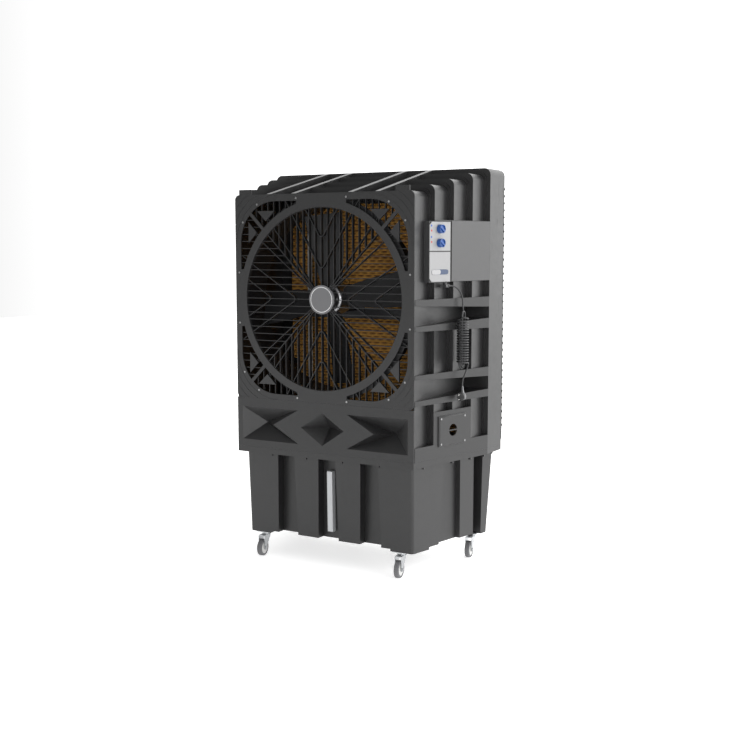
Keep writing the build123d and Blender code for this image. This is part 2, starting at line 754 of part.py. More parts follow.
PAD_BOTTOM = 562.0
PAD_TOP = 1592.0
PAD_WIDE = 332.0
for name, x in (("pad_left", -334.0), ("pad_middle", 0.0), ("pad_right", 334.0)):
    with BuildPart() as pad:
        with Locations((x, FRONT + (PAD_FRONT + PAD_BACK) / 2, (PAD_BOTTOM + PAD_TOP) / 2)):
            Box(PAD_WIDE, PAD_BACK - PAD_FRONT, PAD_TOP - PAD_BOTTOM)
    save(pad.part, name)

TRAY_HALF = 505.0


def trough(bottom, top, wall):
    """A straight gutter across the cabinet, open at the top, with drip slots in its floor."""
    with BuildPart() as gutter:
        with Locations((0, FRONT + 550, (bottom + top) / 2)):
            Box(2 * TRAY_HALF, 108, top - bottom)
        with Locations((0, FRONT + 550, (bottom + top) / 2 + wall)):
            Box(2 * TRAY_HALF - 2 * wall, 108 - 2 * wall, top - bottom, mode=Mode.SUBTRACT)
        with Locations((0, FRONT + 550, bottom)):
            with GridLocations(80, 40, 12, 2):
                Box(40, 8, 20, mode=Mode.SUBTRACT)
    return gutter.part


save(trough(514.0, 561.0, 3.0), "pad_tray")
save(trough(1593.0, 1620.0, 3.0), "water_tray")

PIPE_Z = 1640.0
PIPE_R = 14.0
with BuildPart() as distribution_pipe:
    with BuildSketch(Plane.YZ):
        with Locations((FRONT + 550, PIPE_Z)):
            Circle(PIPE_R)
    extrude(amount=500, both=True)
    with BuildSketch(Plane.YZ.offset(-497)):
        with Locations((FRONT + 550, PIPE_Z)):
            Circle(PIPE_R - 2.5)
    extrude(amount=994, mode=Mode.SUBTRACT)
    with Locations((0, FRONT + 550, PIPE_Z - PIPE_R)):
        with GridLocations(40, 1, 24, 1):
            Cylinder(2.0, 8, mode=Mode.SUBTRACT)
save(distribution_pipe.part, "distribution_pipe")

PUMP_X = -340.0
PUMP_DEPTH = 430.0
PUMP_FLOOR = TANK_BOTTOM + FOOT_PAD_STEP + WALL
with BuildPart() as pump:
    with BuildSketch(Plane.XY.offset(PUMP_FLOOR)):
        with Locations((PUMP_X, FRONT + PUMP_DEPTH)):
            Circle(62)
            with PolarLocations(62, 16):
                Rectangle(10, 4, mode=Mode.SUBTRACT)
    extrude(amount=34)
    with BuildSketch(Plane.XY.offset(PUMP_FLOOR + 34)):
        with Locations((PUMP_X, FRONT + PUMP_DEPTH)):
            Circle(48)
    extrude(amount=66)
    fillet(pump.edges().group_by(Axis.Z)[-1], radius=8)
    with BuildSketch(Plane.XY.offset(PUMP_FLOOR + 99)):
        with Locations((PUMP_X, FRONT + PUMP_DEPTH)):
            Circle(17)
    extrude(amount=18)
save(pump.part, "pump")

RISER_R = 11.0
RISER_FOOT = PUMP_FLOOR + 117
with BuildPart() as riser_pipe:
    with BuildLine() as route:
        FilletPolyline(
            (PUMP_X, FRONT + PUMP_DEPTH, RISER_FOOT),
            (PUMP_X, FRONT + PUMP_DEPTH, PIPE_Z),
            (PUMP_X, FRONT + 550 - PIPE_R - GAP, PIPE_Z),
            radius=40,
        )
    with BuildSketch(Plane.XY.offset(RISER_FOOT)):
        with Locations((PUMP_X, FRONT + PUMP_DEPTH)):
            Circle(RISER_R)
            Circle(RISER_R - 2.5, mode=Mode.SUBTRACT)
    sweep(path=route.wires()[0])
save(riser_pipe.part, "riser_pipe")

LOUVRE_FRONT = 606.0
LOUVRE_RIM_HALF = FRAME_HALF - 1.2
SLAT_PITCH = 36.0
SLAT_TILT = 42.0
with BuildPart() as louvre_grille:
    with BuildSketch(upright(FRAME_BACK + GAP)) as rim:
        with Locations((0, (SEAM_Z + FRAME_TOP) / 2)):
            Rectangle(2 * LOUVRE_RIM_HALF, FRAME_TOP - SEAM_Z - 2.4)
        fillet(rim.vertices(), radius=CORNER_R - 1.2)
    extrude(amount=-(DEPTH - FRAME_BACK - GAP))
    with BuildSketch(upright(LOUVRE_FRONT)) as insert:
        with Locations((0, (SEAM_Z + FRAME_TOP) / 2)):
            Rectangle(2 * (FRAME_HALF - 8), FRAME_TOP - SEAM_Z - 16)
        fillet(insert.vertices(), radius=CORNER_R - 8)
    extrude(amount=-(FRAME_BACK - LOUVRE_FRONT + 2))
    with Locations((0, FRONT + 620, (SEAM_Z + FRAME_TOP) / 2)):
        Box(2 * FRAME_HALF - 56, 60, FRAME_TOP - SEAM_Z - 64, mode=Mode.SUBTRACT)
    slat_low = SEAM_Z + 44
    slat_high = FRAME_TOP - 44
    slat_count = int((slat_high - slat_low) / SLAT_PITCH) + 1
    spacing = (slat_high - slat_low) / (slat_count - 1)
    for index in range(slat_count):
        slat_plane = Plane(
            origin=(0, FRONT + 619, slat_low + spacing * index),
            x_dir=(1, 0, 0),
            z_dir=(0, -math.sin(math.radians(SLAT_TILT)), math.cos(math.radians(SLAT_TILT))),
        )
        with BuildSketch(slat_plane):
            Rectangle(2 * FRAME_HALF - 50, 26)
        extrude(amount=1.3, both=True)
    for x in (-270.0, 0.0, 270.0):
        with Locations((x, FRONT + 619, (SEAM_Z + FRAME_TOP) / 2)):
            Box(6, 25, FRAME_TOP - SEAM_Z - 60)
    # small moulded knuckles along the rim
    knuckle_pitch = 31.0
    rows = int((FRAME_TOP - SEAM_Z - 120) / knuckle_pitch)
    for side in (-1, 1):
        for row in range(rows):
            rise = (SEAM_Z + FRAME_TOP) / 2 + (row - (rows - 1) / 2) * knuckle_pitch
            with Locations((side * LOUVRE_RIM_HALF, FRONT + 629.6, rise)):
                Box(4.4, 8, 9)
save(louvre_grille.part, "louvre_grille")

# ---------------------------------------------------------------- water inlet
HATCH_WIDE = 178.0
HATCH_TALL = 130.0
HATCH_THICK = 8.0
hatch_screws = []
for sign_u in (-1, 1):
    for sign_w in (-1, 1):
        hatch_screws.append((sign_u * (HATCH_WIDE / 2 - 11), sign_w * (HATCH_TALL / 2 - 11)))
with BuildPart() as inlet_hatch:
    with BuildSketch(side_plane(HATCH_DEPTH, HATCH_Z, GAP)):
        Rectangle(HATCH_WIDE, HATCH_TALL)
    extrude(amount=HATCH_THICK)
    outward_axis = Axis((0, 0, 0), (math.cos(FLARE_ANGLE), -math.sin(FLARE_ANGLE), 0))
    chamfer(inlet_hatch.faces().sort_by(outward_axis)[-1].edges(), length=5)
    with BuildSketch(side_plane(HATCH_DEPTH, HATCH_Z, 20)):
        Circle(INLET_R)
        Rectangle(80, 5, mode=Mode.SUBTRACT)
    extrude(amount=-40, mode=Mode.SUBTRACT)
    with BuildSketch(side_plane(HATCH_DEPTH, HATCH_Z, 20)):
        with Locations(*hatch_screws):
            Circle(SCREW_R + 0.1)
    extrude(amount=-40, mode=Mode.SUBTRACT)
save(inlet_hatch.part, "inlet_hatch")

VALVE_X = 400.0
VALVE_DEPTH = 241.0
ARM_Z = 458.0
ARM_PIN_R = 3.0
with BuildPart() as float_valve:
    with BuildSketch(Plane.YZ.offset(VALVE_X - 8)):
        with Locations((FRONT + VALVE_DEPTH, HATCH_Z)):
            Circle(9)
    extrude(amount=100)
    with Locations((VALVE_X, FRONT + VALVE_DEPTH, (HATCH_Z + 480) / 2)):
        Cylinder(8, HATCH_Z - 480 + 12)
    with Locations((VALVE_X, FRONT + VALVE_DEPTH, 478)):
        Cylinder(15, 22)
    with Locations((VALVE_X, FRONT + VALVE_DEPTH, ARM_Z + 2)):
        Box(22, 26, 24)
    with Locations((VALVE_X, FRONT + VALVE_DEPTH, ARM_Z - 3)):
        Box(40, 10, 30, mode=Mode.SUBTRACT)
    with Locations((VALVE_X, FRONT + VALVE_DEPTH, ARM_Z)):
        Cylinder(ARM_PIN_R, 26, rotation=(90, 0, 0))
save(float_valve.part, "float_valve")

BALL_R = 38.0
BALL_X = 268.0
BALL_Z = 430.0
with BuildPart() as float_arm:
    with Locations((VALVE_X, FRONT + VALVE_DEPTH, ARM_Z)):
        Cylinder(8, 9, rotation=(90, 0, 0))
    with BuildLine() as rod_line:
        Line(
            (VALVE_X - 5, FRONT + VALVE_DEPTH, ARM_Z),
            (BALL_X + BALL_R - 6, FRONT + VALVE_DEPTH, BALL_Z + 8),
        )
    with BuildSketch(Plane(origin=rod_line.line @ 0, z_dir=rod_line.line % 0)):
        Circle(3)
    sweep(path=rod_line.wires()[0])
    with Locations((VALVE_X, FRONT + VALVE_DEPTH, ARM_Z)):
        Cylinder(ARM_PIN_R + 0.06, 40, rotation=(90, 0, 0), mode=Mode.SUBTRACT)
save(float_arm.part, "float_arm")

with BuildPart() as float_ball:
    with Locations((BALL_X, FRONT + VALVE_DEPTH, BALL_Z)):
        Sphere(BALL_R)
    add(float_arm.part, mode=Mode.SUBTRACT)
save(float_ball.part, "float_ball")

# ---------------------------------------------------------------- controls
BOX_FACE = 3.0
PANEL_FACE = 6.2
PANEL_WIDE = 130.8
UPPER_PANEL = (1376.0, 1494.0)
LOWER_PANEL = (1249.0, 1371.0)
BOX_SPAN = (84.0, 213.0)
BOX_TOE = 81.0
BOX_BOTTOM = 1246.0
BOX_TOP = 1497.0
SLOT_Z = 1289.0
SLOT_WIDE = 108.0
SLOT_TALL = 22.0

with BuildPart() as control_box:
    with BuildSketch(Plane.XY.offset(BOX_BOTTOM)):
        Polygon(
            (HALF_FRONT + GAP, FRONT + BOX_TOE),
            (flare(BOX_SPAN[0]) + BOX_FACE, FRONT + BOX_SPAN[0]),
            (flare(BOX_SPAN[1]) + BOX_FACE, FRONT + BOX_SPAN[1]),
            (flare(BOX_SPAN[1]) + GAP, FRONT + BOX_SPAN[1]),
            (flare(CONTROL_PAD[0]) + GAP, FRONT + CONTROL_PAD[0] - BEAD_DEEP - GAP),
            (HALF_FRONT + BEAD_OUT + GAP, FRONT + CONTROL_PAD[0] - BEAD_DEEP - GAP),
            (HALF_FRONT + GAP, FRONT + CONTROL_PAD[0] - BEAD_DEEP - GAP),
            align=None,
        )
    extrude(amount=BOX_TOP - BOX_BOTTOM)
    for z in KNOB_Z:
        with BuildSketch(side_plane(CONTROL_DEPTH, z, 20)):
            with Locations((SWITCH_U, 0)):
                Circle(SPINDLE_R + 2)
        extrude(amount=-40, mode=Mode.SUBTRACT)
save(control_box.part, "control_box")


def clipped_plate(low, high, top_corner):
    """A white fascia with one clipped front corner."""
    middle = (low + high) / 2
    half_x, half_z, clip = PANEL_WIDE / 2, (high - low) / 2, 14.0
    sign = 1 if top_corner else -1
    with BuildPart() as plate:
        with BuildSketch(side_plane(CONTROL_DEPTH, middle, BOX_FACE + 0.4)):
            Polygon(
                (-half_x, -sign * half_z),
                (half_x, -sign * half_z),
                (half_x, sign * half_z),
                (-half_x + clip, sign * half_z),
                (-half_x, sign * (half_z - clip)),
                align=None,
            )
        extrude(amount=PANEL_FACE - BOX_FACE - 0.4)
    return plate.part


with BuildPart() as upper_panel:
    add(clipped_plate(*UPPER_PANEL, True))
    for z in KNOB_Z:
        with BuildSketch(side_plane(CONTROL_DEPTH, z, 20)):
            with Locations((SWITCH_U, 0)):
                Circle(SPINDLE_R + 2)
        extrude(amount=-40, mode=Mode.SUBTRACT)
save(upper_panel.part, "upper_panel")

SLOT_DEEP = 1.6
with BuildPart() as lower_panel:
    add(clipped_plate(*LOWER_PANEL, False))
    with BuildSketch(side_plane(CONTROL_DEPTH, SLOT_Z, PANEL_FACE + 1)):
        SlotOverall(SLOT_WIDE, SLOT_TALL)
    extrude(amount=-(SLOT_DEEP + 1), mode=Mode.SUBTRACT)
save(lower_panel.part, "lower_panel")

SLIDER_LONG = 56.0
with BuildPart() as switch_slider:
    with BuildSketch(side_plane(CONTROL_DEPTH, SLOT_Z, PANEL_FACE - SLOT_DEEP + 0.3)):
        with Locations((-(SLOT_WIDE - SLIDER_LONG) / 2 + 1, 0)):
            SlotOverall(SLIDER_LONG, SLOT_TALL - 2)
    extrude(amount=SLOT_DEEP + 1.4)
save(switch_slider.part, "switch_slider")

KNOB_R = 18.5
KNOB_TALL = 18.0
for name, z in (("speed_knob", KNOB_Z[0]), ("pump_knob", KNOB_Z[1])):
    with BuildPart() as knob:
        with BuildSketch(side_plane(CONTROL_DEPTH, z, PANEL_FACE + 0.5)):
            with Locations((SWITCH_U, 0)):
                Circle(KNOB_R)
        extrude(amount=4)
        with BuildSketch(side_plane(CONTROL_DEPTH, z, PANEL_FACE + 4.5)):
            with Locations((SWITCH_U, 0)):
                Circle(KNOB_R - 1.0)
        extrude(amount=KNOB_TALL - 4)
        with BuildSketch(side_plane(CONTROL_DEPTH, z, PANEL_FACE + KNOB_TALL + 1)):
            with Locations((SWITCH_U, 0)):
                Circle(KNOB_R - 3.0)
                Rectangle(2 * KNOB_R, 8, rotation=-38, mode=Mode.SUBTRACT)
        extrude(amount=-5.5, mode=Mode.SUBTRACT)
        with BuildSketch(side_plane(CONTROL_DEPTH, z, PANEL_FACE - 1)):
            with Locations((SWITCH_U, 0)):
                Circle(SPINDLE_R + 0.06)
        extrude(amount=12, mode=Mode.SUBTRACT)
    save(knob.part, name)

with BuildPart() as rotary_switches:
    for z in KNOB_Z:
        with BuildSketch(side_plane(CONTROL_DEPTH, z, -WALL - 1)):
            with Locations((SWITCH_U, 0)):
                Rectangle(34, 34)
        extrude(amount=-22)
        with BuildSketch(side_plane(CONTROL_DEPTH, z, -WALL - 1)):
            with Locations((SWITCH_U, 0)):
                Circle(SPINDLE_R)
        extrude(amount=WALL + 1 + PANEL_FACE + 10)
save(rotary_switches.part, "rotary_switches")

SIDE_PLATE = (225.0, 474.0, 1250.0, 1500.0)
with BuildPart() as side_plate:
    start, end, low, high = SIDE_PLATE
    with BuildSketch(side_plane((start + end) / 2, (low + high) / 2, GAP)):
        RectangleRounded((end - start) / math.cos(FLARE_ANGLE), high - low, 2)
    extrude(amount=2.5)
save(side_plate.part, "side_plate")

# ---------------------------------------------------------------- plate and hatch screws
with BuildPart() as panel_screws:
    for x, z in SCREW_SPOTS:
        for spot in all_quadrants(x, z):
            with BuildSketch(upright(-1.6)):
                with Locations(spot):
                    Circle(SCREW_HEAD_R)
            extrude(amount=-1.6)
            with BuildSketch(upright(0)):
                with Locations(spot):
                    Circle(SCREW_R)
            extrude(amount=-(PLATE - GAP))
    for u, w in hatch_screws:
        with BuildSketch(side_plane(HATCH_DEPTH, HATCH_Z, HATCH_THICK + GAP)):
            with Locations((u, w)):
                Circle(SCREW_HEAD_R)
        extrude(amount=1.6)
        with BuildSketch(side_plane(HATCH_DEPTH, HATCH_Z, HATCH_THICK + GAP)):
            with Locations((u, w)):
                Circle(SCREW_R)
        extrude(amount=-HATCH_THICK)
save(panel_screws.part, "panel_screws")

# ---------------------------------------------------------------- mains lead
CORD_R = 3.3
GLAND_Z = 1231.0
GLAND_X = 500.5
GLAND_START = 170.0
GLAND_END = 206.0
HANK_X = 538.5
HANK_DEPTH = 263.0
HANK_TOP = 1096.0
HANK_BOTTOM = 903.0
HANK_HALF_X = 26.0
HANK_HALF_Y = 31.0
LOOP_TOP = 1134.0
LOOP_BOTTOM = 884.0
PLUG_Z = 762.0
PLUG_R = 17.5
RELIEF_TOP = 806.0

with BuildPart() as cord_gland:
    with BuildSketch(upright(GLAND_START)):
        with Locations((GLAND_X - 4, GLAND_Z)):
            Circle(9)
    extrude(amount=-(GLAND_END - GLAND_START - 8))
    with BuildSketch(upright(GLAND_END - 14)) as nut:
        with Locations((GLAND_X - 2, GLAND_Z)):
            RegularPolygon(9.5, 6)
    extrude(amount=-8)
    with BuildSketch(upright(GLAND_END - 8)):
        with Locations((GLAND_X - 1, GLAND_Z)):
            Circle(6.5)
    extrude(amount=-8)
    with Locations((GLAND_X - 4, FRONT + GLAND_START + 9, (GLAND_Z + BOX_BOTTOM) / 2 - GAP)):
        Cylinder(8, BOX_BOTTOM - GLAND_Z)
save(cord_gland.part, "cord_gland")


def rounded_route(points):
    """Corner radii that make each bend as large as its two runs allow."""
    radii = []
    for before, here, after in zip(points, points[1:], points[2:]):
        arriving = Vector(*here) - Vector(*before)
        leaving = Vector(*after) - Vector(*here)
        turn = math.radians(arriving.get_angle(leaving))
        radii.append(0.45 * min(arriving.length, leaving.length) / math.tan(turn / 2))
    return radii


def cord_tube(points, name):
    """A round cord along straight runs joined by tangent arcs."""
    radii = rounded_route(points)
    print(name, "bend radii", [round(r, 1) for r in radii])
    with BuildPart() as tube:
        with BuildLine() as path:
            FilletPolyline(*points, radius=radii)
        with BuildSketch(Plane(origin=path.line @ 0, z_dir=path.line % 0)):
            Circle(CORD_R)
        sweep(path=path.wires()[0])
    length = sum(edge.length for edge in path.line.edges())
    ratio = tube.part.volume / (math.pi * CORD_R**2 * length)
    print(name, "length", round(length, 1), "volume ratio", round(ratio, 4))
    save(tube.part, name)


lead_route = [
    (GLAND_X - 1, FRONT + GLAND_END, GLAND_Z),
    (GLAND_X + 3, FRONT + GLAND_END + 18, GLAND_Z - 0.5),
    (GLAND_X + 13, FRONT + GLAND_END + 40, GLAND_Z - 6),
    (GLAND_X + 25, FRONT + GLAND_END + 60, GLAND_Z - 26),
    (HANK_X - 7, FRONT + HANK_DEPTH + 13, GLAND_Z - 56),
    (HANK_X - 6.5, FRONT + HANK_DEPTH + 14, LOOP_TOP),
]
cord_tube(lead_route, "cord_lead")

with BuildPart() as cord_hank:
    with BuildSketch(Plane.XY.offset(HANK_BOTTOM)):
        with Locations((HANK_X, FRONT + HANK_DEPTH)):
            Ellipse(HANK_HALF_X, HANK_HALF_Y)
    extrude(amount=HANK_TOP - HANK_BOTTOM)
    for low, high in ((LOOP_BOTTOM, HANK_BOTTOM), (HANK_TOP, LOOP_TOP)):
        with BuildSketch(Plane.XY.offset(low)):
            with Locations((HANK_X, FRONT + HANK_DEPTH)):
                Ellipse(14, 22)
        extrude(amount=high - low)
save(cord_hank.part, "cord_hank")

tail_route = [
    (HANK_X, FRONT + HANK_DEPTH, LOOP_BOTTOM),
    (HANK_X + 0.6, FRONT + HANK_DEPTH - 1.0, (LOOP_BOTTOM + RELIEF_TOP) / 2),
    (HANK_X, FRONT + HANK_DEPTH, RELIEF_TOP),
]
cord_tube(tail_route, "cord_tail")

PIN_PITCH = 19.0
with BuildPart() as plug_body:
    with BuildSketch(upright(HANK_DEPTH - 16)):
        with Locations((HANK_X, PLUG_Z)):
            Circle(PLUG_R)
    extrude(amount=-22)
    fillet(plug_body.edges().filter_by(GeomType.CIRCLE).sort_by(Axis.Y)[-1], radius=6)
    with BuildSketch(Plane.XY.offset(PLUG_Z)):
        with Locations((HANK_X, FRONT + HANK_DEPTH)):
            RectangleRounded(24, 22, 7)
    with BuildSketch(Plane.XY.offset(PLUG_Z + 26)):
        with Locations((HANK_X, FRONT + HANK_DEPTH)):
            Circle(6)
    loft()
    with BuildSketch(Plane.XY.offset(PLUG_Z + 26)):
        with Locations((HANK_X, FRONT + HANK_DEPTH)):
            Circle(6)
    with BuildSketch(Plane.XY.offset(RELIEF_TOP)):
        with Locations((HANK_X, FRONT + HANK_DEPTH)):
            Circle(4.2)
    loft()
save(plug_body.part, "plug_body")

with BuildPart() as plug_pins:
    with BuildSketch(upright(HANK_DEPTH - 16)):
        with Locations((HANK_X, PLUG_Z)):
            with GridLocations(1, PIN_PITCH, 1, 2):
                Circle(2.4)
    extrude(amount=19)
    fillet(plug_pins.edges().filter_by(GeomType.CIRCLE).group_by(Axis.Y)[0], radius=1.5)
save(plug_pins.part, "plug_pins")

# ---------------------------------------------------------------- castors
WHEEL_R = 37.5
WHEEL_WIDE = 22.0
TRAIL = 36.0
TOE = 8.0                # the castors rest turned a little to one side
KINGPIN_R = 5.0
PLATE_UNDER = TANK_BOTTOM - 3.2
CUP_UNDER = 97.5
CROWN_TOP = 93.5
LEG_IN = 13.0
LEG_OUT = 15.6
AXLE_R = 4.0
contact_front = (353.6, 46.4)
contact_rear = (471.3, 486.7)
swing = math.radians(TOE)
CASTORS = []
for label, x, depth in (
    ("front_left", -contact_front[0], contact_front[1]),
    ("front_right", contact_front[0], contact_front[1]),
    ("rear_left", -contact_rear[0], contact_rear[1]),
    ("rear_right", contact_rear[0], contact_rear[1]),
):
    CASTORS.append((label, x - TRAIL * math.sin(swing), FRONT + depth + TRAIL * math.cos(swing)))

with BuildPart() as castor_plates:
    for label, x, y in CASTORS:
        with BuildSketch(Plane.XY.offset(PLATE_UNDER)):
            with Locations((x, y)):
                RectangleRounded(66, 66, 6)
                with GridLocations(46, 46, 2, 2):
                    Circle(3.5, mode=Mode.SUBTRACT)
        extrude(amount=TANK_BOTTOM - PLATE_UNDER - GAP)
        with BuildSketch(Plane.XY.offset(CUP_UNDER)):
            with Locations((x, y)):
                Circle(19)
        extrude(amount=PLATE_UNDER - CUP_UNDER)
        with BuildSketch(Plane.XY.offset(CUP_UNDER - 1)):
            with Locations((x, y)):
                Circle(KINGPIN_R + 0.06)
        extrude(amount=9.5, mode=Mode.SUBTRACT)
save(castor_plates.part, "castor_plates")

with BuildPart() as fork:
    with BuildSketch(Plane.XY.offset(CROWN_TOP - 3)):
        with Locations((0, -14)):
            RectangleRounded(2 * LEG_OUT, 66, 4)
        Circle(20)
    extrude(amount=3)
    with BuildSketch(Plane.XY.offset(CROWN_TOP)):
        Circle(17)
    extrude(amount=CUP_UNDER - CROWN_TOP - 0.5)
    with BuildSketch(Plane.XY.offset(CROWN_TOP)):
        Circle(KINGPIN_R)
    extrude(amount=CUP_UNDER - CROWN_TOP + 8)
    for side in (-1, 1):
        with BuildSketch(Plane.YZ.offset(side * (LEG_IN + LEG_OUT) / 2)) as leg:
            with BuildLine():
                Polyline(
                    (17, CROWN_TOP),
                    (-45, CROWN_TOP),
                    (-TRAIL - 11, WHEEL_R),
                    (-TRAIL + 11, WHEEL_R),
                    (17, CROWN_TOP),
                )
            make_face()
            with Locations((-TRAIL, WHEEL_R)):
                Circle(11)
        extrude(amount=(LEG_OUT - LEG_IN) / 2, both=True)
    with Locations((0, -TRAIL, WHEEL_R)):
        Cylinder(AXLE_R + 0.05, 60, rotation=(0, 90, 0), mode=Mode.SUBTRACT)

with BuildPart() as axle:
    with BuildSketch(Plane.YZ.offset(-LEG_OUT - 3)):
        with Locations((-TRAIL, WHEEL_R)):
            Circle(AXLE_R)
    extrude(amount=2 * LEG_OUT + 6)
    for start in (-LEG_OUT - 3.1, LEG_OUT + 0.1):
        with BuildSketch(Plane.YZ.offset(start)):
            with Locations((-TRAIL, WHEEL_R)):
                RegularPolygon(7, 6)
        extrude(amount=3)

with BuildPart() as wheel:
    with BuildSketch(Plane.YZ):
        with Locations((-TRAIL, WHEEL_R)):
            Circle(WHEEL_R - 10)
    extrude(amount=WHEEL_WIDE / 2 - 1, both=True)
    with BuildSketch(Plane.YZ):
        with Locations((-TRAIL, WHEEL_R)):
            Circle(9)
    extrude(amount=LEG_IN - 0.5, both=True)
    with BuildSketch(Plane.YZ):
        with Locations((-TRAIL, WHEEL_R)):
            Circle(AXLE_R + 0.06)
    extrude(amount=20, both=True, mode=Mode.SUBTRACT)

with BuildPart() as tyre:
    with BuildSketch(Plane.YZ):
        with Locations((-TRAIL, WHEEL_R)):
            Circle(WHEEL_R)
    extrude(amount=WHEEL_WIDE / 2, both=True)
    fillet(tyre.edges().filter_by(GeomType.CIRCLE), radius=3)
    with BuildSketch(Plane.YZ):
        with Locations((-TRAIL, WHEEL_R)):
            Circle(WHEEL_R - 10)
    extrude(amount=20, both=True, mode=Mode.SUBTRACT)

for label, x, y in CASTORS:
    spot = Location((x, y, 0), (0, 0, TOE))
    for kind, piece in (("fork", fork), ("axle", axle), ("wheel", wheel), ("tyre", tyre)):
        save(spot * piece.part, f"castor_{kind}_{label}")
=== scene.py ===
"""Looks of a mobile evaporative cooler: charcoal mouldings, guarded fan, wet pads, castors and mains lead."""
import math

import bpy
import numpy as np
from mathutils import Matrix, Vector


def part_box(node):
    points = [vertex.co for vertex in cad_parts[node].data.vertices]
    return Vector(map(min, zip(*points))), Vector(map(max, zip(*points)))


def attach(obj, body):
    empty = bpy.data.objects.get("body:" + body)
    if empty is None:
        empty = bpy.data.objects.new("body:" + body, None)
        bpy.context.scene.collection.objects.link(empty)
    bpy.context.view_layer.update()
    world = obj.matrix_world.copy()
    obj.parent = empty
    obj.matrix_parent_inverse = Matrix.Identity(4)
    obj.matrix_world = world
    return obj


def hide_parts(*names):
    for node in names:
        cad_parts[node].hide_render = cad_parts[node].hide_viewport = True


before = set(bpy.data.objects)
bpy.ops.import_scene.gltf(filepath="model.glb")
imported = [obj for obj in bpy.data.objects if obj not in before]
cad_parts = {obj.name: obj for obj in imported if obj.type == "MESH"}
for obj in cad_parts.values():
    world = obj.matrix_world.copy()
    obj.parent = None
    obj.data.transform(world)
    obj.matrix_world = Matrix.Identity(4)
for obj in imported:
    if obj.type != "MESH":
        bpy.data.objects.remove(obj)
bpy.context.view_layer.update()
MM = 0.001

# ---------------------------------------------------------------- camera, light and floor
# A pale floor under a bright sky, as in a product studio. The sky is brighter towards the rear on
# the control side, which gives the flanks their sheen; soft panels stand beside, above and in front.
camera_data = bpy.data.cameras.new("camera")
camera_data.sensor_width = 36.0
camera_data.lens = 53.59
camera_data.clip_end = 100.0
camera = bpy.data.objects.new("camera", camera_data)
camera.location = (2.6002, -4.3288, 1.38875)
camera.rotation_euler = (math.radians(90.0 - 6.6062), 0.0, math.radians(30.0562))
bpy.context.scene.collection.objects.link(camera)
bpy.context.scene.camera = camera
bpy.context.scene.view_settings.view_transform = "Standard"


class Wire:
    """One output inside a finish. Arithmetic on it adds the Math nodes that work the value out."""

    def __init__(self, tree, socket):
        self.tree = tree
        self.socket = socket

    def node(self, kind, settings, inputs, output=0):
        """Adds a node of a type, makes its settings, fills or links its inputs, and gives an output."""
        made = self.tree.nodes.new(kind)
        for name, value in settings.items():
            setattr(made, name, value)
        for name, value in inputs.items():
            if isinstance(value, Wire):
                self.tree.links.new(value.socket, made.inputs[name])
            else:
                made.inputs[name].default_value = value
        return Wire(self.tree, made.outputs[output])

    def feed(self, shader, name):
        """Links this value to one of a shader's sockets."""
        self.tree.links.new(self.socket, shader.inputs[name])

    def math(self, operation, first, second=0.0):
        return self.node("ShaderNodeMath", {"operation": operation}, {0: first, 1: second})

    def __add__(self, other):
        return self.math("ADD", self, other)

    def __mul__(self, other):
        return self.math("MULTIPLY", self, other)

    def __sub__(self, other):
        return self.math("SUBTRACT", self, other)

    def __rsub__(self, other):
        return self.math("SUBTRACT", other, self)

    __radd__ = __add__
    __rmul__ = __mul__

    def noise(self, scale, detail=2.0):
        """Cloudy noise from 0 to 1 with so many patches per metre."""
        return self.node("ShaderNodeTexNoise", {}, {"Vector": self, "Scale": scale, "Detail": detail}, "Fac")

    def between(self, low, high):
        """0 below low, 1 above high, smooth between."""
        settings = {"interpolation_type": "SMOOTHSTEP"}
        return self.node("ShaderNodeMapRange", settings, {"Value": self, "From Min": low, "From Max": high})

    def colours(self, first, second):
        """The first colour where this value is 0, the second where it is 1."""
        inputs = {0: self, 6: first, 7: second}
        return self.node("ShaderNodeMix", {"data_type": "RGBA"}, inputs, 2)


def pale(colour, times):
    """A colour made lighter or darker, with its alpha."""
    if isinstance(colour, Wire):
        return colour
    return tuple(min(1.0, c * times) for c in colour[:3]) + (1.0,)


world = bpy.data.worlds.new("studio")
bpy.context.scene.world = world
world.use_nodes = True
sky = world.node_tree.nodes["Background"]
toward = Wire(world.node_tree, world.node_tree.nodes.new("ShaderNodeTexCoord").outputs["Generated"])
across = toward.node("ShaderNodeSeparateXYZ", {}, {0: toward}, "X")
rearward = toward.node("ShaderNodeSeparateXYZ", {}, {0: toward}, "Y")
(0.45 + 2.2 * (0.6 * across + 0.8 * rearward).between(-0.3, 0.95)).feed(sky, "Strength")
sky.inputs["Color"].default_value = (1.0, 1.0, 1.0, 1.0)

for name, place, size, power in (
    ("side_panel", (5.0, -0.6, 2.2), 3.2, 60.0),
    ("top_panel", (0.5, 0.6, 5.0), 3.0, 50.0),
    ("front_panel", (3.2, -5.6, 2.3), 2.0, 120.0),
):
    panel = bpy.data.lights.new(name, "AREA")
    panel.size = size
    panel.energy = power
    lamp = bpy.data.objects.new(name, panel)
    lamp.location = place
    lamp.rotation_euler = (Vector((0.0, 0.0, 0.9)) - Vector(place)).to_track_quat("-Z", "Y").to_euler()
    bpy.context.scene.collection.objects.link(lamp)


def surface(name, points):
    """A piece from a grid of points, shaped rows x columns x 3; faces join each point to its neighbours."""
    rows, columns = points.shape[:2]
    index = np.arange(rows * columns).reshape(rows, columns)
    quads = np.stack([index[:-1, :-1], index[:-1, 1:], index[1:, 1:], index[1:, :-1]], -1).reshape(-1, 4)
    mesh = bpy.data.meshes.new(name)
    mesh.from_pydata(points.reshape(-1, 3), [], quads.tolist())
    mesh.update()
    piece = bpy.data.objects.new(name, mesh)
    bpy.context.scene.collection.objects.link(piece)
    return piece


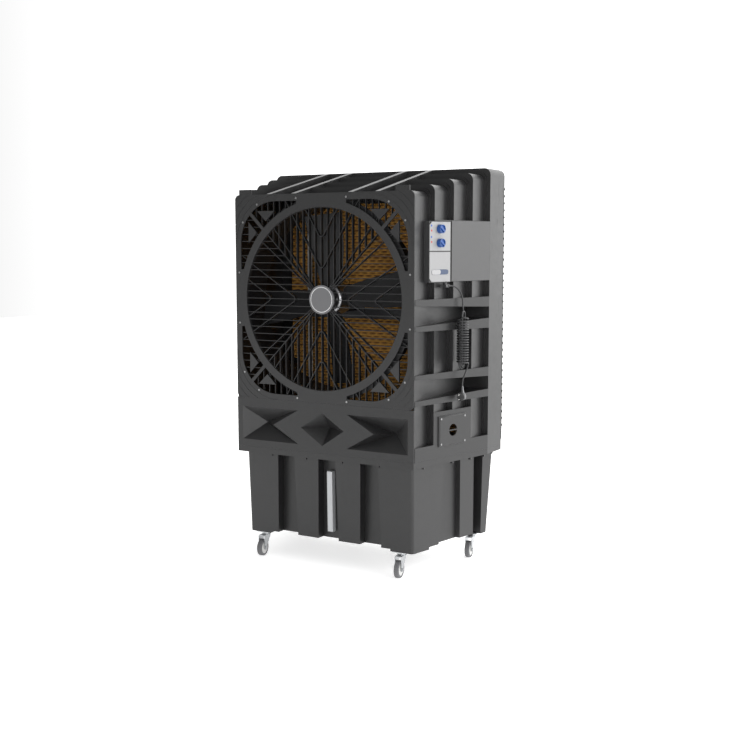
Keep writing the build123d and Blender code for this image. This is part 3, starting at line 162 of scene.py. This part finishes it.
span = np.linspace(-15.0, 15.0, 5)
grid_x, grid_y = np.meshgrid(span, span)
floor = surface("floor", np.stack([grid_x, grid_y, 0 * grid_x], -1).transpose(1, 0, 2))
floor_look = bpy.data.materials.new("pale_floor")
floor_look.use_nodes = True
floor_look.node_tree.nodes["Principled BSDF"].inputs["Base Color"].default_value = (0.93, 0.93, 0.93, 1.0)
floor_look.node_tree.nodes["Principled BSDF"].inputs["Roughness"].default_value = 0.9
floor_look.node_tree.nodes["Principled BSDF"].inputs["Emission Color"].default_value = (1.0, 1.0, 1.0, 1.0)
floor_look.node_tree.nodes["Principled BSDF"].inputs["Emission Strength"].default_value = 0.55
floor.data.materials.append(floor_look)

# ---------------------------------------------------------------- mains lead
# A round rubber lead leaves the gland under the control box, is folded three times, wrapped into a
# hank and hangs straight to its plug. It is one unbroken cord; the plug body is dark in front and grey behind.
CORD_R = 3.3
HANK_X = 538.5
HANK_Y = -53.0
FOLD_R = 19.0
WRAPS = 17.0
WRAP_TOP = 1090.0
WRAP_BOTTOM = 907.0
WRAP_RX = 22.5
WRAP_RY = 26.2


def skin(name, colour, roughness, grain, relief, drift=0.1, scuff=0.06, metallic=0.0, coat=0.0, sheen=0.55):
    """A moulded, cast or rubber skin.

    Its colour runs between drift darker and drift lighter over broad patches and pales where fine
    streaks lie; roughness rises with the streaks; the grain, so many per metre, lifts the surface by
    relief millimetres.
    """
    material = bpy.data.materials.new(name)
    material.use_nodes = True
    tree = material.node_tree
    shader = tree.nodes["Principled BSDF"]
    where = Wire(tree, tree.nodes.new("ShaderNodeTexCoord").outputs["Object"])
    stretched = where.node("ShaderNodeMapping", {}, {"Vector": where, "Scale": (1.0, 1.0, 0.12)})
    patches = where.noise(4.5, 3.0)
    streaks = stretched.noise(70.0, 4.0).between(0.62, 0.78)
    body = patches.colours(pale(colour, 1.0 - drift), pale(colour, 1.0 + drift))
    worn = (scuff * streaks).node("ShaderNodeMix", {"data_type": "RGBA"},
                                  {0: scuff * streaks, 6: body, 7: pale(colour, 2.4)}, 2)
    worn.feed(shader, "Base Color")
    (roughness - 0.05 + 0.1 * where.noise(35.0) + 0.12 * streaks).feed(shader, "Roughness")
    shader.inputs["Metallic"].default_value = metallic
    shader.inputs["Coat Weight"].default_value = coat
    shader.inputs["Specular IOR Level"].default_value = sheen
    bumped = where.node(
        "ShaderNodeBump", {}, {"Height": where.noise(grain, 2.0), "Strength": 0.35, "Distance": relief * MM}
    )
    bumped.feed(shader, "Normal")
    return material


def dress(look, *nodes):
    """Gives carried-over pieces their finish."""
    for node in nodes:
        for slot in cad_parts[node].material_slots:
            slot.material = look


def fold(x_from, x_to, z, side, way):
    """Points of one fold of the hank: a half circle from one side of it to the other."""
    points = [(HANK_X + x_from, HANK_Y + side * FOLD_R, z - way * 22.0)]
    radius = FOLD_R / math.cos(math.radians(15))
    for step in range(8):
        bearing = math.radians(30 * step - 15)
        x = x_from + (x_to - x_from) * step / 7
        across = side * radius * math.cos(bearing)
        points.append((HANK_X + x, HANK_Y + across, z + way * radius * math.sin(bearing)))
    points.append((HANK_X + x_to, HANK_Y - side * FOLD_R, z - way * 22.0))
    return points


lead_points = [
    (499.5, -110.0, 1231.0),
    (503.5, -92.0, 1230.5),
    (513.5, -70.0, 1225.0),
    (525.5, -50.0, 1205.0),
    (531.5, -40.0, 1175.0),
    (HANK_X - 6.5, HANK_Y + 14, 1134.0),
    (HANK_X - 6.5, HANK_Y + 16.5, 1112.0),
    (HANK_X - 6.5, HANK_Y + FOLD_R, 1088.0),
]
lead_points += fold(-6.5, 6.5, 908.0, 1, -1)
lead_points += fold(6.5, 0, 1104.0, -1, 1)
lead_points += fold(0, -6.5, 900.0, 1, -1)
lead_points.append((HANK_X - 6.5, HANK_Y - FOLD_R, 1058.0))
for step in range(4):
    bearing = math.radians(195 - 30 * step)
    lead_points.append(
        (HANK_X + 14 + 21.2 * math.cos(bearing), HANK_Y - FOLD_R - step, 1076 + 21.2 * math.sin(bearing))
    )
turns = np.arange(-0.125, WRAPS + 0.04, 1 / 14)
for turn in turns:
    angle = 2 * math.pi * turn
    lift = 6.0 * max(0.0, (0.3 - turn) / 0.42) ** 1.5
    lead_points.append((
        HANK_X + WRAP_RX * math.cos(angle),
        HANK_Y + WRAP_RY * math.sin(angle),
        WRAP_TOP - (WRAP_TOP - WRAP_BOTTOM) * turn / WRAPS + lift,
    ))
lead_points += [
    (HANK_X + 21.4, HANK_Y + 12, 904.5),
    (HANK_X + 17, HANK_Y + 20.5, 898.5),
    (HANK_X + 12.5, HANK_Y + 24.5, 889.0),
    (HANK_X + 9.5, HANK_Y + 24.5, 878.0),
    (HANK_X + 7, HANK_Y + 20, 865.0),
    (HANK_X + 4, HANK_Y + 12, 850.0),
    (HANK_X + 1, HANK_Y + 3.5, 835.0),
    (HANK_X, HANK_Y, 820.0),
    (HANK_X, HANK_Y, 806.0),
]
curve = bpy.data.curves.new("mains_lead", "CURVE")
curve.dimensions = "3D"
curve.bevel_depth = CORD_R * MM
curve.bevel_resolution = 3
curve.resolution_u = 4
spline = curve.splines.new("NURBS")
spline.points.add(len(lead_points) - 1)
places = np.array([[x * MM, y * MM, z * MM, 1.0] for x, y, z in lead_points])
spline.points.foreach_set("co", places.ravel())
spline.order_u = 3
spline.use_endpoint_u = True
mains_lead = bpy.data.objects.new("mains_lead", curve)
bpy.context.scene.collection.objects.link(mains_lead)
cord_look = skin("cord_rubber", (0.006, 0.006, 0.007), 0.45, 900.0, 0.05, scuff=0.1)
curve.materials.append(cord_look)
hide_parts("cord_lead", "cord_hank", "cord_tail")
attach(mains_lead, "cabinet")
plug_low, plug_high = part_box("plug_body")
plug_look = skin("plug_rubber", (0.22, 0.22, 0.23), 0.5, 700.0, 0.08)
plug_shader = plug_look.node_tree.nodes["Principled BSDF"]
plug_place = Wire(plug_look.node_tree, plug_look.node_tree.nodes["Texture Coordinate"].outputs["Object"])
plug_depth = plug_place.node("ShaderNodeSeparateXYZ", {}, {0: plug_place}, "Y")
rear_half = plug_depth.between((plug_low.y + plug_high.y) / 2 - 0.001, (plug_low.y + plug_high.y) / 2 + 0.001)
rear_half.colours((0.03, 0.03, 0.031, 1.0), (0.24, 0.24, 0.25, 1.0)).feed(plug_shader, "Base Color")
dress(plug_look, "plug_body")
dress(skin("gland_black", (0.012, 0.012, 0.013), 0.4, 900.0, 0.05), "cord_gland")
dress(skin("pin_steel", (0.6, 0.59, 0.57), 0.22, 1200.0, 0.02, metallic=1.0), "plug_pins")

# ---------------------------------------------------------------- water tank
# One drafted tub of charcoal polyethylene with pilasters, a skirt above and castor pads below.
# The front carries a pale sight strip for the water level, the rear a screwed drain plug.
CHARCOAL = (0.007, 0.007, 0.0073)
dress(skin("tank_plastic", CHARCOAL, 0.40, 520.0, 0.12), "tank", "drain_plug")
dress(skin("gauge_plastic", (0.4, 0.41, 0.42), 0.3, 300.0, 0.05, coat=0.3), "level_gauge")

# ---------------------------------------------------------------- cabinet
# A stepped and ribbed charcoal moulding that widens to the rear; the front panel has faceted reliefs
# and the outlet plate has corner windows and fine contour lines.
dress(skin("shell_plastic", CHARCOAL, 0.36, 520.0, 0.12), "housing_shell", "control_box")
dress(skin("front_plastic", CHARCOAL, 0.42, 620.0, 0.12), "lower_front_panel", "fan_plate")
dress(skin("frame_plastic", (0.008, 0.008, 0.0083), 0.40, 620.0, 0.12), "rear_frame")
dress(skin("side_plate_plastic", (0.05, 0.05, 0.051), 0.40, 620.0, 0.12), "side_plate")
dress(skin("hatch_plastic", CHARCOAL, 0.40, 620.0, 0.12), "inlet_hatch")
dress(skin("louvre_plastic", (0.006, 0.006, 0.006), 0.5, 620.0, 0.12, sheen=0.15), "louvre_grille")
dress(skin("gutter_plastic", (0.008, 0.008, 0.008), 0.45, 620.0, 0.1), "pad_tray", "water_tray")
dress(skin("screw_steel", (0.3, 0.3, 0.3), 0.35, 900.0, 0.05, metallic=1.0), "panel_screws")

# ---------------------------------------------------------------- guard, fan and motor
# A black injected guard of straight, raked and V bars with a satin hub disc; behind it four broad
# moulded blades on a cast hub, driven by a finned motor on a painted cross-beam.
dress(skin("guard_plastic", (0.008, 0.008, 0.0085), 0.33, 700.0, 0.08), "front_guard")
dress(skin("hub_plastic", (0.10, 0.10, 0.104), 0.38, 500.0, 0.05, coat=0.2), "guard_hub")
dress(skin("blade_plastic", (0.007, 0.007, 0.0075), 0.5, 500.0, 0.1, sheen=0.35), "fan_blades", "fan_shroud")
dress(skin("hub_aluminium", (0.35, 0.35, 0.36), 0.35, 300.0, 0.3, metallic=1.0), "fan_hub")
dress(skin("motor_paint", (0.02, 0.021, 0.023), 0.45, 400.0, 0.3, sheen=0.3), "motor_body", "motor_frame")
dress(skin("motor_shaft_steel", (0.6, 0.6, 0.6), 0.25, 900.0, 0.05, metallic=1.0), "motor_shaft")
dress(skin("zinc_steel", (0.5, 0.51, 0.52), 0.35, 260.0, 0.15, metallic=1.0), "castor_plates")

hub_low, hub_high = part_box("guard_hub")
hub_centre = (hub_low + hub_high) / 2
around = np.linspace(0.0, 2 * math.pi, 73)
section = np.array([(-1.0, 0.5), (-1.0, 0.1), (1.0, 0.1), (1.0, 0.5), (-1.0, 0.5)]) * MM
ring_r = 52.8 * MM + section[:, 0][:, None]
ring_y = hub_low.y + section[:, 1][:, None] + 0 * around
hub_ring = surface(
    "hub_ring",
    np.stack([ring_r * np.cos(around), ring_y, hub_centre.z + ring_r * np.sin(around)], -1)[::-1],
)
hub_ring.data.materials.append(skin("ring_white", (0.75, 0.75, 0.75), 0.4, 400.0, 0.03))
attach(hub_ring, "cabinet")

# ---------------------------------------------------------------- wet pads and water parts
# Three pads of wax-coated cellulose sheets, corrugated at two angles and glued crosswise, so that
# each face shows rows of small scale-shaped cells; the cell hollows are darkened by their depth with
# painted shade. Black gutters and white pipe spread the water.
CELL_WIDE = 42.0
CELL_TALL = 14.0
CELL_DEEP = 6.0
PAD_STEP = 3.0
pad_look = bpy.data.materials.new("pad_paper")
pad_look.use_nodes = True
pad_tree = pad_look.node_tree
pad_shader = pad_tree.nodes["Principled BSDF"]
pad_where = Wire(pad_tree, pad_tree.nodes.new("ShaderNodeTexCoord").outputs["Object"])
hollow_shade_mask = Wire(pad_tree, pad_tree.nodes.new("ShaderNodeAttribute").outputs["Fac"])
pad_tree.nodes["Attribute"].attribute_name = "depth"
fibre = pad_where.noise(260.0, 4.0)
brown_paper = (0.50, 0.24, 0.045, 1.0)
gold_paper = (0.78, 0.43, 0.10, 1.0)
# A dark brown painted shade for the cell hollows, mixed over the paper colour by cell depth.
painted_hollow_shade = (0.10, 0.036, 0.006, 1.0)
mottle = 0.55 * pad_where.noise(9.0, 2.0) + 0.45 * fibre
hollow_shade_mask.colours(mottle.colours(brown_paper, gold_paper), painted_hollow_shade).feed(pad_shader, "Base Color")
(0.7 + 0.2 * fibre).feed(pad_shader, "Roughness")
pad_where.node("ShaderNodeBump", {}, {"Height": fibre, "Strength": 0.5, "Distance": 0.4 * MM}).feed(
    pad_shader, "Normal"
)


def pad_sides(low, high):
    """A pad as one closed grid wrapped round it in plan: front, side, back, side.

    The front and back faces are drawn in by cell depth x a scale pattern: each row is deepest along
    its upper edge and in the middle of its cells, and each row's cells stand between the next's.
    """
    tall = np.arange(low.z, high.z, PAD_STEP * MM)
    wide = np.arange(low.x, high.x, PAD_STEP * MM)
    heights, across = np.meshgrid(tall, wide, indexing="ij")
    row = np.floor((heights - low.z) / (CELL_TALL * MM))
    rise = (heights - low.z) / (CELL_TALL * MM) - row
    swing = np.abs(np.cos(math.pi * (across / (CELL_WIDE * MM) + 0.5 * row)))
    deep = np.clip(1.25 * rise * (0.25 + 0.75 * swing), 0.0, 1.0)
    front = np.stack([across, low.y + deep * CELL_DEEP * MM, heights], -1)
    back = np.stack([across[:, ::-1], high.y - deep[:, ::-1] * CELL_DEEP * MM, heights], -1)
    grid = np.concatenate([front, back, front[:, :1]], 1)
    shade = np.concatenate([deep, deep[:, ::-1], deep[:, :1]], 1)
    cap_low = grid[:1].copy()
    cap_high = grid[-1:].copy()
    for cap in (cap_low, cap_high):
        cap[..., 1] = (low.y + high.y) / 2
    grid = np.concatenate([cap_low, grid, cap_high])
    shade = np.concatenate([shade[:1], shade, shade[-1:]])
    return grid, shade


for name in ("pad_left", "pad_middle", "pad_right"):
    pad_low, pad_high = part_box(name)
    pad_grid, pad_shade = pad_sides(pad_low, pad_high)
    pad = surface(name + "_flutes", pad_grid)
    # The cell depth, which sets how much painted shade each point of the hollows takes.
    attribute = pad.data.attributes.new("depth", "FLOAT", "POINT")
    attribute.data.foreach_set("value", pad_shade.ravel().astype(np.float32))
    pad.data.materials.append(pad_look)
    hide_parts(name)
    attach(pad, "cabinet")

dress(skin("pipe_white", (0.6, 0.6, 0.6), 0.4, 400.0, 0.05), "distribution_pipe", "riser_pipe", "float_ball")
dress(skin("pump_plastic", (0.01, 0.01, 0.011), 0.45, 500.0, 0.1), "pump", "rotary_switches")
dress(skin("valve_brass", (0.62, 0.44, 0.18), 0.3, 500.0, 0.08, metallic=1.0), "float_valve", "float_arm")

# ---------------------------------------------------------------- controls
# Two white fascias on the flared side, two blue knobs with small marks beside them, and a
# two-place slide switch in a slate-blue slot.
dress(skin("fascia_white", (0.24, 0.24, 0.243), 0.35, 500.0, 0.05), "upper_panel", "lower_panel")
dress(skin("knob_blue", (0.010, 0.055, 0.22), 0.35, 500.0, 0.05), "speed_knob", "pump_knob")
dress(skin("slider_white", (0.3, 0.3, 0.305), 0.35, 500.0, 0.05), "switch_slider")

CONTROLS_DEPTH = 148.2
FRONT_HALF = 447.4
FRONT_Y = -316.0
FLARE_SLOPE = 0.23668
FASCIA_FACE = 6.2
FLARE = math.atan(FLARE_SLOPE)
FLANK_X = FRONT_HALF + FLARE_SLOPE * CONTROLS_DEPTH
FLANK_Y = FRONT_Y + CONTROLS_DEPTH


def flank_patch(name, u, z, half_u, half_z, off, look, power=2.0):
    """A thin rounded patch on the flared side, u along it from the middle of the controls."""
    angles = np.linspace(0.0, 2 * math.pi, 49)
    cosine, sine = np.cos(angles), np.sin(angles)
    ring_u = half_u * np.sign(cosine) * np.abs(cosine) ** (2 / power)
    ring_z = half_z * np.sign(sine) * np.abs(sine) ** (2 / power)
    rings = []
    for scale, lift in ((0.0, -0.3), (1.0, -0.3), (1.0, off), (0.0, off)):
        along = u + scale * ring_u
        rings.append(np.stack([
            FLANK_X + (FASCIA_FACE + lift) * math.cos(FLARE) + along * math.sin(FLARE),
            FLANK_Y - (FASCIA_FACE + lift) * math.sin(FLARE) + along * math.cos(FLARE),
            z + scale * ring_z,
        ], -1))
    patch = surface(name, np.array(rings) * MM)
    patch.data.materials.append(look)
    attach(patch, "cabinet")


mark_blue = skin("mark_blue", (0.012, 0.06, 0.28), 0.5, 900.0, 0.02)
mark_red = skin("mark_red", (0.35, 0.03, 0.03), 0.5, 900.0, 0.02)
for number, (u, z, look) in enumerate((
    (-55.0, 1478.0, mark_blue),
    (-54.0, 1458.0, mark_red),
    (-55.0, 1432.0, mark_blue),
    (-54.0, 1412.0, mark_red),
)):
    flank_patch(f"mark_{number}", u, z, 4.2, 4.6, 0.2, look)
slate = skin("slot_slate", (0.03, 0.05, 0.10), 0.45, 700.0, 0.05)
flank_patch("slot_floor", 0.0, 1289.0, 53.4, 10.6, -1.4, slate, power=5.0)

# ---------------------------------------------------------------- castors
# Zinc-plated forks on kingpins, pale moulded wheel cores and grey rubber treads.
fork_look = skin("fork_zinc", (0.42, 0.43, 0.44), 0.33, 260.0, 0.12, metallic=1.0)
core_look = skin("core_plastic", (0.5, 0.5, 0.49), 0.45, 500.0, 0.08)
tread_look = skin("tread_rubber", (0.1, 0.1, 0.105), 0.6, 700.0, 0.15)
for place in ("front_left", "front_right", "rear_left", "rear_right"):
    dress(fork_look, "castor_fork_" + place, "castor_axle_" + place)
    dress(core_look, "castor_wheel_" + place)
    dress(tread_look, "castor_tyre_" + place)
